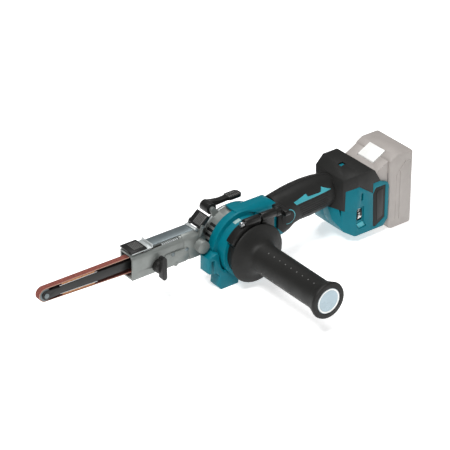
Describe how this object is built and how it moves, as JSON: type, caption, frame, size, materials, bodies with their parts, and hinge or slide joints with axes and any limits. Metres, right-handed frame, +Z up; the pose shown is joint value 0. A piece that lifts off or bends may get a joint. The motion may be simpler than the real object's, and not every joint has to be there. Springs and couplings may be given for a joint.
{
  "type": "handheld belt sander",
  "caption": "Cordless handheld belt sander with a narrow swivelling arm, sprung nose pulley, side handle on a clamp bracket and slide-on battery pack.",
  "frame": {"origin": "middle of the flat front foot, on the surface the tool rests on", "axes": "+X from the nose of the arm towards the battery, +Z up, -Y towards the side handle"},
  "size_m": [0.5768, 0.2305, 0.113],
  "materials": {
    "teal_plastic": "moulded teal plastic, fine spark texture",
    "black_rubber": "black overmoulded elastomer, fine matte texture",
    "black_plastic": "black moulded nylon",
    "cast_aluminium": "cast and blasted aluminium",
    "steel": "bright steel",
    "dark_sheet": "dark coated sheet steel",
    "abrasive": "cloth belt with reddish-brown grit",
    "cork": "cork-faced pad",
    "copper": "copper windings in a laminated stack",
    "pale_grey_plastic": "pale grey plastic",
    "white_plastic": "off-white plastic",
    "pale_blue_plastic": "pale blue-grey plastic",
    "potted_board": "potted circuit board"
  },
  "bodies": {
    "housing": {"motor_housing": "teal_plastic", "foot_bracket": "teal_plastic", "stator": "copper", "motor_bearing_near": "steel", "grip_near": "black_rubber", "grip_far": "black_rubber", "switch_body": "black_plastic", "rear_shell_near": "teal_plastic", "rear_shell_far": "teal_plastic", "rubber_cover": "black_rubber", "side_bumper_near": "black_rubber", "side_bumper_far": "black_rubber", "controller": "potted_board", "terminal_block": "black_plastic"},
    "arm": {"gear_case": "cast_aluminium", "gear_case_cover": "cast_aluminium", "motor_bearing_far": "steel", "arm_frame": "cast_aluminium", "arm_screw_front": "dark_sheet", "arm_screw_rear": "dark_sheet", "arm_top_plate": "dark_sheet", "spindle_bearing_near": "steel", "spindle_bearing_far": "steel", "sanding_belt": "abrasive", "latch_pin": "steel", "tension_spring": "steel"},
    "rotor": {"rotor_core": "dark_sheet", "motor_shaft": "steel", "fan": "white_plastic", "pinion": "steel"},
    "gear_large": {"idler_gear_large": "steel"},
    "gear_small": {"idler_gear_small": "steel"},
    "drive": {"spindle_gear": "steel", "spindle": "steel", "drive_pulley": "black_rubber"},
    "nose": {"nose_bar": "black_plastic", "idler_pin": "steel", "upper_shoe": "steel", "lower_shoe": "steel", "upper_pad": "cork", "lower_pad": "cork", "tension_link": "steel", "thumb_pad": "black_plastic"},
    "nose_wheel": {"idler_pulley": "steel"},
    "wing_screw": {"wing_bolt": "black_plastic"},
    "latch": {"rear_latch": "black_plastic"},
    "lever": {"lock_lever": "black_plastic"},
    "bracket": {"clamp_bracket": "black_plastic", "clamp_bolt": "steel"},
    "clamp_nut": {"clamp_knob": "black_plastic"},
    "handle": {"side_handle": "black_rubber", "side_handle_stud": "steel", "side_handle_cap": "pale_blue_plastic"},
    "paddle": {"switch_lever": "black_plastic"},
    "dial": {"speed_dial": "white_plastic"},
    "battery": {"battery_tongue": "pale_grey_plastic", "battery_case": "pale_grey_plastic", "cell_pack": "pale_blue_plastic"},
    "battery_catch": {"battery_button": "white_plastic"}
  },
  "joints": [
    {"name": "arm_swivel", "type": "hinge", "parent": "housing", "child": "arm", "pos_m": [0.027, 0.011, 0.051], "axis": [0, 1, 0], "range_deg": [-3, 50]},
    {"name": "motor_spin", "type": "hinge", "parent": "arm", "child": "rotor", "pos_m": [0.027, 0.011, 0.051], "axis": [0, 1, 0], "continuous": true},
    {"name": "gear_large_spin", "type": "hinge", "parent": "arm", "child": "gear_large", "pos_m": [0.00661, 0.031, 0.05601], "axis": [0, 1, 0], "continuous": true},
    {"name": "gear_small_spin", "type": "hinge", "parent": "arm", "child": "gear_small", "pos_m": [-0.01573, 0.031, 0.0615], "axis": [0, 1, 0], "continuous": true},
    {"name": "drive_spin", "type": "hinge", "parent": "arm", "child": "drive", "pos_m": [-0.03418, 0.0245, 0.06603], "axis": [0, 1, 0], "continuous": true},
    {"name": "nose_slide", "type": "slide", "parent": "arm", "child": "nose", "axis": [1, 0, 0], "range_m": [0, 0.01], "stiffness_N_per_m": 1500, "springref_m": -0.02},
    {"name": "nose_wheel_spin", "type": "hinge", "parent": "nose", "child": "nose_wheel", "pos_m": [-0.2665, 0.0245, 0.0715], "axis": [0, 1, 0], "continuous": true},
    {"name": "wing_bolt_turn", "type": "hinge", "parent": "arm", "child": "wing_screw", "pos_m": [-0.1, 0.011, 0.0593], "axis": [0, 1, 0], "range_deg": [0, 270]},
    {"name": "latch_flip", "type": "hinge", "parent": "arm", "child": "latch", "pos_m": [-0.029, 0.0245, 0.0896], "axis": [0, 1, 0], "range_deg": [-60, 0]},
    {"name": "lock_lever_turn", "type": "hinge", "parent": "arm", "child": "lever", "pos_m": [0.0015, 0.041, 0.097], "axis": [0, 1, 0], "range_deg": [-90, 0]},
    {"name": "bracket_swing", "type": "hinge", "parent": "housing", "child": "bracket", "pos_m": [0.027, -0.024, 0.051], "axis": [0, 1, 0], "range_deg": [-90, 0]},
    {"name": "clamp_knob_turn", "type": "hinge", "parent": "bracket", "child": "clamp_nut", "pos_m": [0.067, -0.0245, 0.0972], "axis": [1, 0, 0], "range_deg": [0, 270]},
    {"name": "side_handle_turn", "type": "hinge", "parent": "bracket", "child": "handle", "pos_m": [0.027, -0.034, 0.051], "axis": [0, 1, 0], "continuous": true},
    {"name": "switch_press", "type": "hinge", "parent": "housing", "child": "paddle", "pos_m": [0.164, 0.011, 0.0568], "axis": [0, 1, 0], "range_deg": [0, 4], "stiffness_Nm_per_rad": 1.2, "springref_deg": -6.88},
    {"name": "dial_turn", "type": "hinge", "parent": "housing", "child": "dial", "pos_m": [0.2085, -0.0125, 0.0425], "axis": [1, 0, 0], "range_deg": [0, 240]},
    {"name": "battery_slide", "type": "slide", "parent": "housing", "child": "battery", "axis": [0, 0, 1], "range_m": [0, 0.12]},
    {"name": "battery_button_press", "type": "slide", "parent": "battery", "child": "battery_catch", "axis": [0, 0, -1], "range_m": [0, 0.0025], "stiffness_N_per_m": 1500, "springref_m": -0.003}
  ],
  "couplings": [
    {"joint": "gear_large_spin", "follows": "motor_spin", "ratio": -0.61538},
    {"joint": "gear_small_spin", "follows": "motor_spin", "ratio": 0.8},
    {"joint": "drive_spin", "follows": "motor_spin", "ratio": -0.88889},
    {"joint": "nose_wheel_spin", "follows": "motor_spin", "ratio": -1.3037}
  ]
}
